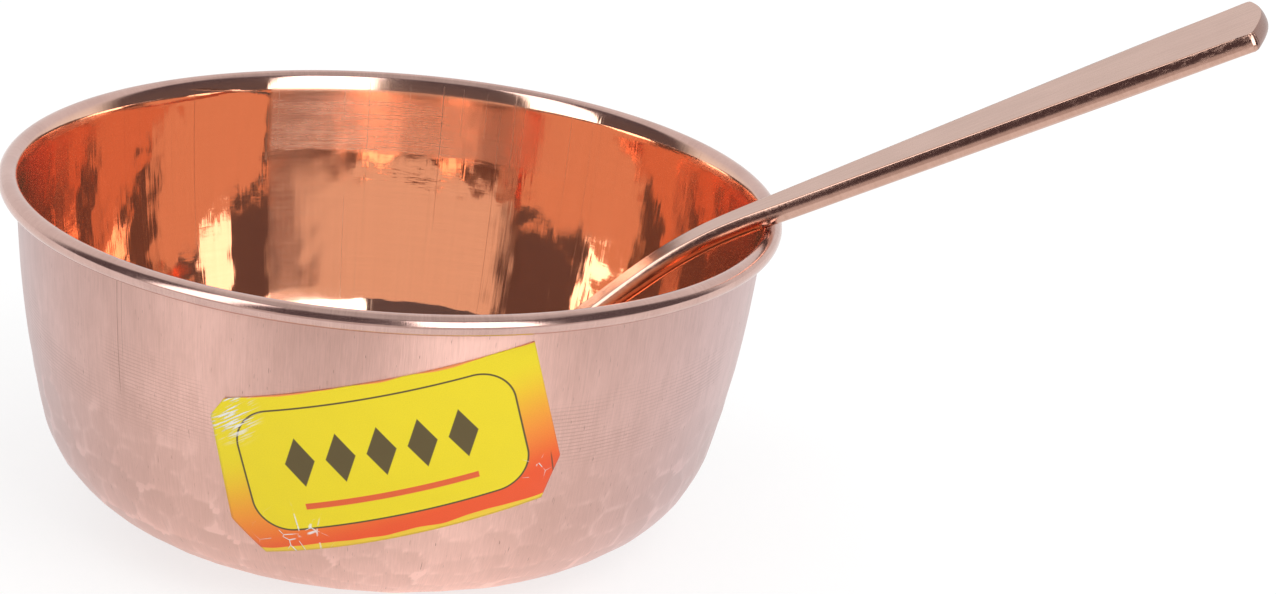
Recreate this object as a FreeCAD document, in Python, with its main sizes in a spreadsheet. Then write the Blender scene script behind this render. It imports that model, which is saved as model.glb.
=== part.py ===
import FreeCAD, Part
import os
import re
from math import cos, radians, sin

import Sketcher
from FreeCAD import Placement, Rotation, Vector

# A spun copper bowl with a rolled rim, and the forged serving spoon that leans in it.
# Millimetres, +Z up. The origin is the centre of the flat base, on the ground.
# The spoon's handle leans out towards +X and the paper label faces -Y.

# Driving dimensions
# Lengths are in millimetres and angles in degrees. Slopes are measured up from level,
# and turns about +Z from +X.

SIZES = {
    # bowl
    "rim_radius": 70.0,           # to the outside of the rolled rim
    "bowl_height": 62.3,          # ground to the top of the rolled rim
    "base_radius": 30.1,          # flat that the bowl stands on
    "belly_radius": 21.9,         # tight bend between the lower and the upper wall
    "heel_slope": 22.6,           # slope of the wall where the belly bend starts
    "belly_slope": 77.0,          # slope of the wall where the belly bend ends
    "wall_slope": 87.9,           # slope of the wall just under the rim
    "metal": 0.75,                # thickness of the bowl's sheet
    "flare_radius": 8.9,          # inside face, where the wall turns out to the rim
    "flare_turn": 20.5,           # how far the flare turns before the tight roll
    "roll_end_turn": 230.0,       # direction of the sheet's edge from the roll's centre
    "wire_radius": 0.8,           # wire that the rim is rolled round
    "wire_clearance": 0.2,
    # paper label
    "label_width": 56.0,
    "label_height": 29.6,
    "label_clip_across": 4.6,     # both lower corners are clipped
    "label_clip_up": 7.2,
    "label_small_clip": 2.8,      # the upper left corner is clipped less
    "label_slope": 16.0,          # the label sits crooked
    "label_turn": 271.2,          # way that the label faces
    "label_middle_height": 34.9,
    "label_thickness": 0.12,
    "label_gap": 0.05,
    # spoon
    "rest_turn": -8.3,            # place on the rim where the handle lies
    "spoon_turn": -6.0,           # way that the handle points
    "handle_slope": 28.4,
    "handle_reach": 94.0,         # rim to tip, along the handle
    "handle_thickness": 3.6,
    "handle_edge": 1.1,           # rounding of the handle's lower edges
    "tip_width": 20.8,
    "tip_sag": 1.0,               # how far the end bows out
    "tip_corner": 3.0,
    "neck_width": 7.4,
    "bend_lead": 4.0,             # straight run inside the rim, before the neck bends down
    "bend_radius": 80.0,          # underside of the bend
    "neck_slope": 44.0,
    "neck_taper_turn": 2.4,       # the neck's underside slopes this much less, so that it thins
    "dish_length": 56.0,
    "dish_width": 40.0,
    "dish_depth": 12.0,
    "dish_wall": 1.4,
    "dish_slope": 14.0,
    "shoulder_width": 13.0,       # width where the neck runs into the dish
    "shoulder_length": 12.0,
    "neck_bury": 3.0,             # how far the neck runs on into the dish's wall
    "rest_gap": 0.3,              # spoon to rim, and spoon to the bowl's floor
    # cutting outlines
    "overrun": 5.0,               # how far a cutting outline runs past the metal
}

document = FreeCAD.newDocument("ServingBowl")
sheet = document.addObject("Spreadsheet::Sheet", "Sizes")
for row, (name, number) in enumerate(SIZES.items(), start=1):
    sheet.set(f"A{row}", name)
    sheet.set(f"B{row}", str(number))
    sheet.setAlias(f"B{row}", name)

# Worked-out dimensions, each tied to the driving ones by an expression

derived = document.addObject("App::VarSet", "Derived")
document.recompute()


def spelled_out(formula):
    """The formula with each dimension's plain name turned into its full name in the document."""
    def full_name(match):
        word = match.group()
        if word in SIZES:
            return "Sizes." + word
        return "Derived." + word if word in derived.PropertiesList else word
    return re.sub(r"[a-z_]+", full_name, formula)


def amount(formula):
    """What a formula comes to at the current sizes."""
    return float(derived.evalExpression(spelled_out(formula)))


def derive(name, formula):
    """Add a worked-out dimension."""
    text = spelled_out(formula)
    derived.addProperty("App::PropertyFloat", name)
    derived.setExpression(name, text)
    document.recompute()


# The roll that ends the wall is a circle round the wire
derive("roll_inside", "wire_radius + wire_clearance")
derive("roll_outside", "roll_inside + metal")
derive("roll_reach", "rim_radius - roll_outside")
derive("roll_height", "bowl_height - roll_outside")
derive("flare_outside", "flare_radius - metal")

# Top of the wall's outside face, where the flare starts
derive("wall_lean", "90 - wall_slope")
derive("flare_lean", "wall_lean + flare_turn")
derive("wall_top_reach", "roll_reach + (flare_radius - roll_outside) * cos(flare_lean)"
       " - flare_outside * cos(wall_lean)")
derive("wall_top_height", "roll_height - (flare_radius - roll_outside) * sin(flare_lean)"
       " + flare_outside * sin(wall_lean)")

# Radii of the heel and of the long upper wall that carry the outline smoothly from base to rim
derive("arcs_out", "wall_top_reach - base_radius - belly_radius * (sin(belly_slope) - sin(heel_slope))")
derive("arcs_up", "wall_top_height - belly_radius * (cos(heel_slope) - cos(belly_slope))")
derive("wall_out", "sin(wall_slope) - sin(belly_slope)")
derive("wall_up", "cos(belly_slope) - cos(wall_slope)")
derive("heel_out", "sin(heel_slope)")
derive("heel_up", "1 - cos(heel_slope)")
derive("arcs_cross", "heel_out * wall_up - heel_up * wall_out")
derive("heel_radius", "(arcs_out * wall_up - arcs_up * wall_out) / arcs_cross")
derive("wall_radius", "(arcs_up * heel_out - arcs_out * heel_up) / arcs_cross")
derive("belly_turn", "belly_slope - heel_slope")
derive("wall_turn", "wall_slope - belly_slope")

# Centre of the belly bend, which the label's band is struck from
derive("belly_middle_reach", "base_radius + (heel_radius - belly_radius) * heel_out")
derive("belly_middle_height", "heel_radius - (heel_radius - belly_radius) * cos(heel_slope)")

# How far the roll turns, from the flare round to the sheet's edge
derive("roll_turn", "360 + 180 - flare_lean - roll_end_turn")

# The label's layers over the wall's outside face
derive("label_back", "label_gap")
derive("label_front", "label_gap + label_thickness")

# The spoon's own frame has its origin at the roll's centre where the handle crosses it,
# +X level along the handle and +Z up.
derive("handle_under", "roll_outside + rest_gap")
derive("handle_top", "handle_under + handle_thickness")
derive("neck_turn", "neck_slope - handle_slope")
derive("bend_middle_along", "(bend_radius - handle_under) * sin(handle_slope)"
       " - bend_lead * cos(handle_slope)")
derive("bend_middle_up", "- bend_lead * sin(handle_slope)"
       " - (bend_radius - handle_under) * cos(handle_slope)")

# The dish rests just off the bowl's floor, and the neck's upper face runs down to its rim
derive("dish_half", "dish_length / 2")
derive("dish_rise", "sqrt((dish_half * sin(dish_slope))^2 + (dish_depth * cos(dish_slope))^2)")
derive("dish_up", "metal + rest_gap + dish_rise - roll_height")
derive("joint_up", "dish_up + dish_half * sin(dish_slope)")
derive("neck_top_up", "bend_middle_up + (bend_radius + handle_thickness) * cos(neck_slope)")
derive("neck_top_along", "bend_middle_along - (bend_radius + handle_thickness) * sin(neck_slope)")
derive("neck_run", "(neck_top_up - joint_up) / sin(neck_slope)")
derive("joint_along", "neck_top_along - neck_run * cos(neck_slope)")
derive("dish_along", "joint_along - dish_half * cos(dish_slope)")

# Places measured along the handle's own slope, for its outline seen square on
derive("joint_back", "joint_along * cos(handle_slope) + joint_up * sin(handle_slope)")
derive("outline_back", "joint_back - neck_bury - overrun")
derive("shoulder_back", "joint_back + shoulder_length")
derive("tip_radius", "(tip_width^2 / 4 + tip_sag^2) / (2 * tip_sag)")


# Sketching

UPRIGHT = Rotation(Vector(1, 0, 0), 90)          # sketch's own axes to +X and +Z
START, END, MIDDLE = range(1, 4)                 # points of a sketched line or arc, as numbered
HALF_TURN = 180
SAME_WAY_SHARE = 0.99                            # cosine between two directions that count as the same


def hold(sketch, kind, *where, formula=None):
    """Add a constraint, tied to a formula where it is a measured one."""
    if formula is None:
        sketch.addConstraint(Sketcher.Constraint(kind, *where))
        return
    now = amount(formula)
    if kind == "Angle":
        now = radians(now)
        formula = f"({formula}) * 1 deg"
    index = sketch.addConstraint(Sketcher.Constraint(kind, *where, now))
    sketch.setExpression(f"Constraints[{index}]", spelled_out(formula))


def hold_point(sketch, piece, point, across, up):
    """Hold a point at a place given by two formulas."""
    hold(sketch, "DistanceX", piece, point, formula=across)
    hold(sketch, "DistanceY", piece, point, formula=up)


class Chain:
    """Lines and arcs drawn end to end, each smooth with the one before it."""

    def __init__(self, sketch, across, up, heading):
        self.sketch = sketch
        self.start = (across, up)
        self.heading_formula = heading
        self.first_point = Vector(amount(across), amount(up))
        self.point = self.first_point
        self.heading = amount(heading)
        self.pieces = []                         # (index, first point, last point)

    def add(self, shape, first, last):
        index = self.sketch.addGeometry(shape, False)
        if self.pieces:
            before = self.pieces[-1]
            hold(self.sketch, "Tangent", before[0], before[2], index, first)
        else:
            hold_point(self.sketch, index, first, *self.start)
        self.pieces.append((index, first, last))
        return index

    def line(self, length):
        """A straight run. The first one also takes the chain's heading."""
        ahead = Vector(cos(radians(self.heading)), sin(radians(self.heading)))
        stop = self.point + ahead * amount(length)
        index = self.add(Part.LineSegment(self.point, stop), START, END)
        if len(self.pieces) == 1:
            hold(self.sketch, "Angle", index, formula=self.heading_formula)
        hold(self.sketch, "Distance", index, formula=length)
        self.point = stop

    def arc(self, radius, turn, left=True, middle=None):
        """An arc of the given turn. One that starts a chain is held by its middle and not its radius,
        and one of more than a half turn leaves its end to what it meets."""
        side = 1 if left else -1
        inward = radians(self.heading + side * 90)
        centre = self.point + Vector(cos(inward), sin(inward)) * amount(radius)
        begin = inward + radians(HALF_TURN)
        finish = begin + side * radians(amount(turn))
        circle = Part.Circle(centre, Vector(0, 0, 1), amount(radius))
        curve = Part.ArcOfCircle(circle, min(begin, finish), max(begin, finish))
        first, last = (START, END) if left else (END, START)
        index = self.add(curve, first, last)
        if middle:
            hold_point(self.sketch, index, MIDDLE, *middle)
        else:
            hold(self.sketch, "Radius", index, formula=radius)
        if amount(turn) < HALF_TURN:
            hold(self.sketch, "Angle", index, formula=turn)
        self.point = centre + Vector(cos(finish), sin(finish)) * amount(radius)
        self.heading += side * amount(turn)


def join_ends(sketch, one, other):
    """Draw the straight edge between the last points of two chains."""
    index = sketch.addGeometry(Part.LineSegment(one.point, other.point), False)
    for chain, point in ((one, START), (other, END)):
        piece, _, last = chain.pieces[-1]
        hold(sketch, "Coincident", piece, last, index, point)
    return index


def join_starts(sketch, one, other):
    """Draw the straight edge between the first points of two chains."""
    index = sketch.addGeometry(Part.LineSegment(one.first_point, other.first_point), False)
    for chain, point in ((one, START), (other, END)):
        piece, first, _ = chain.pieces[0]
        hold(sketch, "Coincident", piece, first, index, point)


def body_sketch(body, name, role):
    """A sketch on one of a body's own planes."""
    sketch = body.newObject("Sketcher::SketchObject", name)
    plane = next(feature for feature in body.Origin.OriginFeatures if feature.Role == role)
    sketch.AttachmentSupport = (plane, [""])
    sketch.MapMode = "FlatFace"
    return sketch


# Bowl shell: the sheet's section, turned round the bowl's axis

def bowl_section(sketch):
    """Outside face from the base up and round inside the roll, then the inside face from the floor up."""
    outside = Chain(sketch, "0", "0", "0")
    outside.line("base_radius")
    outside.arc("heel_radius", "heel_slope")
    outside.arc("belly_radius", "belly_turn")
    outside.arc("wall_radius", "wall_turn")
    outside.arc("flare_outside", "flare_turn", left=False)
    inside = Chain(sketch, "0", "metal", "0")
    inside.line("base_radius")
    inside.arc("heel_radius - metal", "heel_slope")
    inside.arc("belly_radius - metal", "belly_turn")
    inside.arc("wall_radius - metal", "wall_turn")
    inside.arc("flare_radius", "flare_turn", left=False)
    outside.arc("roll_inside", "roll_turn", left=False)
    inside.arc("roll_outside", "roll_turn", left=False)
    edge = join_ends(sketch, outside, inside)
    hold(sketch, "PointOnObject", inside.pieces[-1][0], MIDDLE, edge)
    hold(sketch, "Angle", edge, formula="roll_end_turn")
    join_starts(sketch, outside, inside)


bowl_shell = document.addObject("PartDesign::Body", "bowl_shell")
section = body_sketch(bowl_shell, "bowl_section", "XZ_Plane")
bowl_section(section)
turned = bowl_shell.newObject("PartDesign::Revolution", "turned_shell")
turned.Profile = section
turned.ReferenceAxis = (section, ["V_Axis"])
turned.Angle = 360
bowl_shell.Label = "bowl_shell"

# Rim wire: a ring inside the roll

rim_wire = document.addObject("Part::Torus", "rim_wire")
rim_wire.setExpression("Radius1", spelled_out("roll_reach"))
rim_wire.setExpression("Radius2", spelled_out("wire_radius"))
rim_wire.setExpression("Placement.Base.z", spelled_out("roll_height"))
rim_wire.Label = "rim_wire"


# Paper label: a band that follows the wall, cut to the label's outline

def label_band_section(sketch):
    """Two offset copies of the belly and wall arcs, with a short edge at each end."""
    chains = []
    for layer in ("label_back", "label_front"):
        reach = f"belly_middle_reach + (belly_radius + {layer}) * heel_out"
        height = f"belly_middle_height - (belly_radius + {layer}) * cos(heel_slope)"
        chain = Chain(sketch, reach, height, "heel_slope")
        middle = ("belly_middle_reach", "belly_middle_height")
        chain.arc(f"belly_radius + {layer}", "belly_turn", middle=middle)
        chain.arc(f"wall_radius + {layer}", "wall_turn")
        chains.append(chain)
    join_ends(sketch, *chains)
    join_starts(sketch, *chains)


def polygon(sketch, corners):
    """A closed outline of straight edges, each corner held by two formulas."""
    places = [Vector(amount(across), amount(up)) for across, up in corners]
    edges = []
    for place, following in zip(places, places[1:] + places[:1]):
        edges.append(sketch.addGeometry(Part.LineSegment(place, following), False))
    for edge, following, corner in zip(edges[-1:] + edges[:-1], edges, corners):
        hold(sketch, "Coincident", edge, END, following, START)
        hold_point(sketch, following, START, *corner)


label_band_outline = document.addObject("Sketcher::SketchObject", "label_band_section")
label_band_outline.Placement = Placement(Vector(), UPRIGHT)
label_band_section(label_band_outline)
label_band = document.addObject("Part::Revolution", "label_band")
label_band.Source = label_band_outline
label_band.Axis = Vector(0, 0, 1)
label_band.Angle = 360
label_band.Solid = True

LABEL_CORNERS = [
    ("label_clip_across - label_width / 2", "- label_height / 2"),
    ("label_width / 2 - label_clip_across", "- label_height / 2"),
    ("label_width / 2", "label_clip_up - label_height / 2"),
    ("label_width / 2", "label_height / 2"),
    ("label_small_clip - label_width / 2", "label_height / 2"),
    ("- label_width / 2", "label_height / 2 - label_small_clip"),
    ("- label_width / 2", "label_clip_up - label_height / 2"),
]
label_outline = document.addObject("Sketcher::SketchObject", "label_outline")
label_outline.setExpression("Placement", spelled_out(
    "create(<<placement>>; create(<<vector>>; 0; 0; label_middle_height);"
    " create(<<rotation>>; label_turn + 90; 0; 0)"
    " * create(<<rotation>>; 0; 0; 90) * create(<<rotation>>; label_slope; 0; 0))"
))
polygon(label_outline, LABEL_CORNERS)
label_block = document.addObject("Part::Extrusion", "label_block")
label_block.Base = label_outline
label_block.DirMode = "Normal"
label_block.Solid = True
label_block.setExpression("LengthFwd", spelled_out("rim_radius"))
paper_label = document.addObject("Part::Common", "paper_label")
paper_label.Base = label_band
paper_label.Tool = label_block
paper_label.Label = "paper_label"

# Serving spoon, drawn in its own frame and then set in the bowl

def handle_side(sketch):
    """The handle from the side: straight from the tip, round the bend and down the neck."""
    chains = []
    for layer, bend, turn in (
        ("handle_under", "bend_radius", "neck_turn - neck_taper_turn"),
        ("handle_top", "bend_radius + handle_thickness", "neck_turn"),
    ):
        along = f"handle_reach * cos(handle_slope) - {layer} * sin(handle_slope)"
        up = f"handle_reach * sin(handle_slope) + {layer} * cos(handle_slope)"
        chain = Chain(sketch, along, up, "handle_slope - 180")
        chain.line("handle_reach + bend_lead")
        chain.arc(bend, turn)
        chain.line("neck_run + neck_bury")
        chains.append(chain)
    join_ends(sketch, *chains)
    join_starts(sketch, *chains)


def handle_outline(sketch):
    """The handle seen square on: a taper out to the tip, and a shoulder where it meets the dish."""
    half_places = [
        ("handle_reach - tip_sag", "tip_width / 2"),
        ("- bend_lead", "neck_width / 2"),
        ("shoulder_back", "neck_width / 2"),
        ("joint_back", "shoulder_width / 2"),
        ("outline_back", "shoulder_width / 2"),
    ]
    corners = half_places + [(along, f"- {across}") for along, across in reversed(half_places)]
    places = [Vector(amount(along), amount(across)) for along, across in corners]
    edges = []
    for place, following in zip(places, places[1:]):
        edges.append(sketch.addGeometry(Part.LineSegment(place, following), False))
    crown = Part.Arc(places[-1], Vector(amount("handle_reach"), 0), places[0])
    edges.append(sketch.addGeometry(crown, False))
    hold(sketch, "Radius", edges[-1], formula="tip_radius")
    for edge, following, corner in zip(edges, edges[1:], corners[1:]):
        hold(sketch, "Coincident", edge, END, following, START)
        hold_point(sketch, following, START, *corner)
    hold(sketch, "Coincident", edges[-1], END, edges[0], START)
    hold_point(sketch, edges[0], START, *corners[0])
    polygon(sketch, [
        ("outline_back - overrun", "- tip_width / 2 - 2 * overrun"),
        ("handle_reach + overrun", "- tip_width / 2 - 2 * overrun"),
        ("handle_reach + overrun", "tip_width / 2 + 2 * overrun"),
        ("outline_back - overrun", "tip_width / 2 + 2 * overrun"),
    ])


serving_spoon = document.addObject("PartDesign::Body", "serving_spoon")
serving_spoon.Label = "serving_spoon"


def tilted(along, up, slope):
    """A place in the spoon's own frame, with its X axis sloping up by the given angle."""
    return (f"create(<<placement>>; create(<<vector>>; {along}; 0; {up});"
            f" create(<<rotation>>; 0; - ({slope}); 0))")


side_sketch = body_sketch(serving_spoon, "handle_side", "XZ_Plane")
handle_side(side_sketch)
handle_pad = serving_spoon.newObject("PartDesign::Pad", "handle_pad")
handle_pad.Profile = side_sketch
handle_pad.SideType = "Symmetric"
handle_pad.setExpression("Length", spelled_out("tip_width + 2 * overrun"))

outline_sketch = body_sketch(serving_spoon, "handle_outline", "XY_Plane")
outline_sketch.setExpression("AttachmentOffset", spelled_out(tilted("0", "0", "handle_slope")))
handle_outline(outline_sketch)
handle_cut = serving_spoon.newObject("PartDesign::Pocket", "handle_cut")
handle_cut.Profile = outline_sketch
handle_cut.SideType = "Symmetric"
handle_cut.Type = "ThroughAll"
document.recompute()


def middle_of(edge):
    return edge.valueAt((edge.FirstParameter + edge.LastParameter) / 2)


def along_handle(place):
    """How far up the handle's slope a place is from the rim."""
    slope = radians(amount("handle_slope"))
    return place.x * cos(slope) + place.z * sin(slope)


def tip_corner_edges(shape):
    """The short edges through the handle's thickness at the two corners of its tip."""
    names = []
    for index, edge in enumerate(shape.Edges, start=1):
        place = middle_of(edge)
        at_tip = along_handle(place) > amount("handle_reach / 2")
        at_side = abs(place.y) > amount("tip_width / 2 - tip_sag")
        if at_tip and at_side and edge.Length < amount("handle_thickness + tip_sag"):
            names.append(f"Edge{index}")
    return names


def underside_edges(shape):
    """The edges round the straight part of the handle's underside; smooth ones beyond them follow."""
    slope = radians(amount("handle_slope"))
    down = Vector(sin(slope), 0, -cos(slope))
    below = []
    for face in shape.Faces:
        low_u, high_u, low_v, high_v = face.ParameterRange
        if face.normalAt((low_u + high_u) / 2, (low_v + high_v) / 2).dot(down) > SAME_WAY_SHARE:
            below.extend(face.Edges)
    names = []
    for index, edge in enumerate(shape.Edges, start=1):
        if any(edge.isSame(other) for other in below) and along_handle(middle_of(edge)) > amount("overrun"):
            names.append(f"Edge{index}")
    return names


corner_round = serving_spoon.newObject("PartDesign::Fillet", "tip_corners")
corner_round.Base = (handle_cut, tip_corner_edges(handle_cut.Shape))
corner_round.setExpression("Radius", spelled_out("tip_corner"))
document.recompute()
edge_round = serving_spoon.newObject("PartDesign::Fillet", "handle_edges")
edge_round.Base = (corner_round, underside_edges(corner_round.Shape))
edge_round.setExpression("Radius", spelled_out("handle_edge"))
document.recompute()

# The dish is the lower half of an ellipsoid, and its hollow also trims the neck
dish_place = tilted("dish_along", "dish_up", "dish_slope")
dish = serving_spoon.newObject("PartDesign::AdditiveEllipsoid", "dish")
hollow = serving_spoon.newObject("PartDesign::SubtractiveEllipsoid", "dish_hollow")
for piece, wall in ((dish, ""), (hollow, " - dish_wall")):
    piece.setExpression("Placement", spelled_out(dish_place))
    piece.setExpression("Radius1", spelled_out("dish_depth" + wall))
    piece.setExpression("Radius2", spelled_out("dish_length / 2" + wall))
    piece.setExpression("Radius3", spelled_out("dish_width / 2" + wall))
    piece.Angle1 = -90
    piece.Angle2 = 0 if piece is dish else 90
    document.recompute()

serving_spoon.setExpression("Placement", spelled_out(
    "create(<<placement>>; create(<<vector>>; roll_reach * cos(rest_turn);"
    " roll_reach * sin(rest_turn); roll_height); create(<<rotation>>; spoon_turn; 0; 0))"
))
document.recompute()

# Check every object, then write each sub-part

for item in document.Objects:
    if {"Invalid", "Error"} & set(item.State):
        raise RuntimeError(f"{item.Label} did not recompute: {item.State}")
parts = [bowl_shell, rim_wire, paper_label, serving_spoon]
for part in parts:
    if part.Shape.isNull() or not part.Shape.isValid() or not part.Shape.Solids:
        raise RuntimeError(f"{part.Label} has no sound solid")

os.makedirs("parts", exist_ok=True)
for part in parts:
    part.Shape.exportStep(f"parts/{part.Label}.step")
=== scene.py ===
import random
from math import copysign, cos, hypot, pi, radians as rad, sin, sqrt, tan

import bpy
import numpy as np
from mathutils import Matrix, Vector
from mathutils.kdtree import KDTree


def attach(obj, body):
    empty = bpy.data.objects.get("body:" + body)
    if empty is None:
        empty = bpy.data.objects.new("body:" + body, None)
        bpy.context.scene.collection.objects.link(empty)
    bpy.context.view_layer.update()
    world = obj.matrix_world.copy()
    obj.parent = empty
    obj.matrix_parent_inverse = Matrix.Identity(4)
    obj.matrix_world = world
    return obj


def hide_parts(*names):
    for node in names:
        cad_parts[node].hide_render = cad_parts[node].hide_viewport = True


# Looks for the copper serving bowl with its spoon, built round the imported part.
# Lengths are in metres, in the part's own frame: +Z up, the bowl's base on the ground.

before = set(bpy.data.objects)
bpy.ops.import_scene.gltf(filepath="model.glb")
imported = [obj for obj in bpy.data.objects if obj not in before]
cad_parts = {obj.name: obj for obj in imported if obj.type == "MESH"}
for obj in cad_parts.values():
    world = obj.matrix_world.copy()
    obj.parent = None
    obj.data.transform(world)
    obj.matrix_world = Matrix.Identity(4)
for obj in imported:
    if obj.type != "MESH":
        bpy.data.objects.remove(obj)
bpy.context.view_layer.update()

MM = 0.001

# Sizes of the bowl, the same as the solid's

RIM_RADIUS = 70.0 * MM
BOWL_HEIGHT = 62.3 * MM
BASE_RADIUS = 30.1 * MM
METAL = 0.75 * MM
HEEL_RADIUS, HEEL_SLOPE = 48.14 * MM, rad(22.6)
BELLY_RADIUS, BELLY_SLOPE = 21.9 * MM, rad(77.0)
WALL_RADIUS, WALL_SLOPE = 207.7 * MM, rad(87.9)
FLARE_RADIUS, FLARE_TURN = 8.9 * MM, rad(20.5)
ROLL_INSIDE = 1.0 * MM
ROLL_OUTSIDE = ROLL_INSIDE + METAL
ROLL_REACH = RIM_RADIUS - ROLL_OUTSIDE
ROLL_HEIGHT = BOWL_HEIGHT - ROLL_OUTSIDE
ROLL_END = rad(230)
ROLL_TURN = rad(540) - (rad(90) - WALL_SLOPE + FLARE_TURN) - ROLL_END

# Mesh helpers


def mesh_piece(name, points, faces):
    """A smooth mesh object from points and faces, in the part's frame."""
    mesh = bpy.data.meshes.new(name)
    mesh.from_pydata([tuple(p) for p in points], [], faces)
    mesh.validate()
    mesh.shade_smooth()
    piece = bpy.data.objects.new(name, mesh)
    bpy.context.scene.collection.objects.link(piece)
    return piece


def apply_modifiers(piece):
    """Replace a piece's mesh with what its modifiers make of it."""
    shown = piece.evaluated_get(bpy.context.evaluated_depsgraph_get())
    mesh = bpy.data.meshes.new_from_object(shown)
    piece.modifiers.clear()
    piece.data = mesh
    return piece


def arc_points(start, heading, radius, turn, step):
    """Points after the start along an arc that turns left, or right for a negative turn."""
    side = 1 if turn > 0 else -1
    x, z = start
    centre_x = x - side * radius * sin(heading)
    centre_z = z + side * radius * cos(heading)
    count = max(2, round(abs(turn) * radius / step))
    points = []
    for index in range(1, count + 1):
        angle = heading + turn * index / count
        points.append((centre_x + side * radius * sin(angle),
                       centre_z - side * radius * cos(angle)))
    return points, heading + turn


def eased(distance, length):
    """A smooth change from 0 to 1 over a length."""
    share = min(1.0, max(0.0, distance / length))
    return share * share * (3 - 2 * share)


# Bowl

SIDES = 720
BASE_RINGS = 12
RING_STEP, ROLL_STEP = 0.75 * MM, 0.35 * MM


def sheet_face(offset, roll):
    """One face of the bowl's sheet as (reach, height), from the middle of the base to the roll."""
    points = [(BASE_RADIUS * ring / BASE_RINGS, offset) for ring in range(1, BASE_RINGS + 1)]
    heading = 0.0
    for radius, turn, step in (
        (HEEL_RADIUS - offset, HEEL_SLOPE, RING_STEP),
        (BELLY_RADIUS - offset, BELLY_SLOPE - HEEL_SLOPE, RING_STEP),
        (WALL_RADIUS - offset, WALL_SLOPE - BELLY_SLOPE, RING_STEP),
        (FLARE_RADIUS - METAL + offset, -FLARE_TURN, RING_STEP),
        (roll, -ROLL_TURN, ROLL_STEP),
    ):
        more, heading = arc_points(points[-1], heading, radius, turn, step)
        points += more
    return points


OUTSIDE = sheet_face(0.0, ROLL_INSIDE)
INSIDE = sheet_face(METAL, ROLL_OUTSIDE)

# Hammer marks outside: rows of shallow hollows up the belly and the wall
HAMMER_SEED = 4
ROWS_START, ROWS_END, ROW_STEP = BASE_RADIUS + 3.0 * MM, 103 * MM, 4.8 * MM
MARK_STEP, MARK_NUDGE, MARK_SWAY = 7.6 * MM, 0.36, 2.0 * MM
MARK_HALF_HEIGHT, MARK_HALF_WIDTH, MARK_DEPTH = 3.8 * MM, 5.4 * MM, 0.20 * MM
NEAREST_MARKS = 6
RIDGE_SHARE = 0.30
MARKS_TOP, TOP_FADE = 54 * MM, 6 * MM
FAINT_FROM, FAINT_FADE, FAINTEST = 38 * MM, 14 * MM, 0.15

# Slight waves of the polished inside, and the two sides where its belly is a little fuller
WAVE_SEED = 11
LONG_WAVES, LONG_WAVE_SIZE = (5, 7, 9, 14), 0.30 * MM
SMALL_WAVES, SMALL_WAVE_SHARE = 26, 0.00045
WAVE_STARTS = 6.28
WAVES_TOP, WAVES_FADE = 58 * MM, 5 * MM
FULLER_SIDES, FULLER_SPREAD = ((rad(155), 0.50 * MM), (rad(-7), 0.15 * MM)), rad(28)


def hammer_marks():
    """The hollows, as (x, y, z, depth, tone)."""
    chance = random.Random(HAMMER_SEED)
    runs = [0.0]
    for (r0, z0), (r1, z1) in zip(OUTSIDE, OUTSIDE[1:]):
        runs.append(runs[-1] + hypot(r1 - r0, z1 - z0))
    marks = []
    run = ROWS_START
    while run < ROWS_END:
        at = min(range(len(runs)), key=lambda index: abs(runs[index] - run))
        reach, height = OUTSIDE[at]
        count = round(2 * pi * reach / MARK_STEP)
        start = chance.random()
        for index in range(count):
            angle = 2 * pi * (index + start + chance.uniform(-MARK_NUDGE, MARK_NUDGE)) / count
            sway = chance.uniform(-1.0, 1.0) * MARK_SWAY
            marks.append((reach * cos(angle), reach * sin(angle), height + sway,
                          chance.uniform(0.45, 1.0), chance.uniform(-1.0, 1.0)))
        run += ROW_STEP
    return marks


def hollows_at(points):
    """For each point the depth of its hollow, how near it is to a ridge, and its tone with painted
    shading across the hollow.
    """
    marks = hammer_marks()
    tree = KDTree(len(marks))
    for index, mark in enumerate(marks):
        tree.insert(mark[:3], index)
    tree.balance()
    found = []
    for point in points:
        reach = hypot(point[0], point[1])
        hollows = []
        for _, index, _ in tree.find_n(point, NEAREST_MARKS):
            x, y, z, deep, tone = marks[index]
            mark_reach = hypot(x, y)
            rise, spread = point[2] - z, reach - mark_reach
            along = copysign(hypot(rise, spread), rise + spread) / MARK_HALF_HEIGHT
            aside = (x * point[1] - y * point[0]) / mark_reach / MARK_HALF_WIDTH
            gap = hypot(along, aside)
            # painted shading: each hollow is painted lighter at its lower left edge and darker
            # towards its upper right
            hollows.append((deep * max(0.0, 1 - gap ** 2),
                            0.3 * tone - (0.9 * along + 0.5 * aside) * gap))
        hollows.sort(reverse=True)
        (depth, tone), (second, _) = hollows[:2]
        found.append((depth, max(0.0, 1 - (depth - second) / RIDGE_SHARE) ** 2, tone))
    return np.array(found)


def inside_waves():
    """Waves of the polished inside, as (count round it, size, climb, start)."""
    chance = random.Random(WAVE_SEED)
    waves = [(count, LONG_WAVE_SIZE / count, 0.0, chance.uniform(0, WAVE_STARTS))
             for count in LONG_WAVES]
    for _ in range(SMALL_WAVES):
        length = chance.uniform(3.2, 8.0) * MM
        lean = chance.uniform(0, pi)
        waves.append((round(2 * pi * ROLL_REACH * cos(lean) / length), SMALL_WAVE_SHARE * length,
                      2 * pi * sin(lean) / length, chance.uniform(0, WAVE_STARTS)))
    return waves


def section_normals(section):
    """Directions square to the sheet in section: out on its outside, in on its inside."""
    normals = []
    for index in range(len(section)):
        before, after = section[max(0, index - 1)], section[min(len(section) - 1, index + 1)]
        along = np.array(after) - np.array(before)
        along /= max(1e-12, np.linalg.norm(along))
        normals.append((along[1], -along[0]))
    return normals


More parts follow.
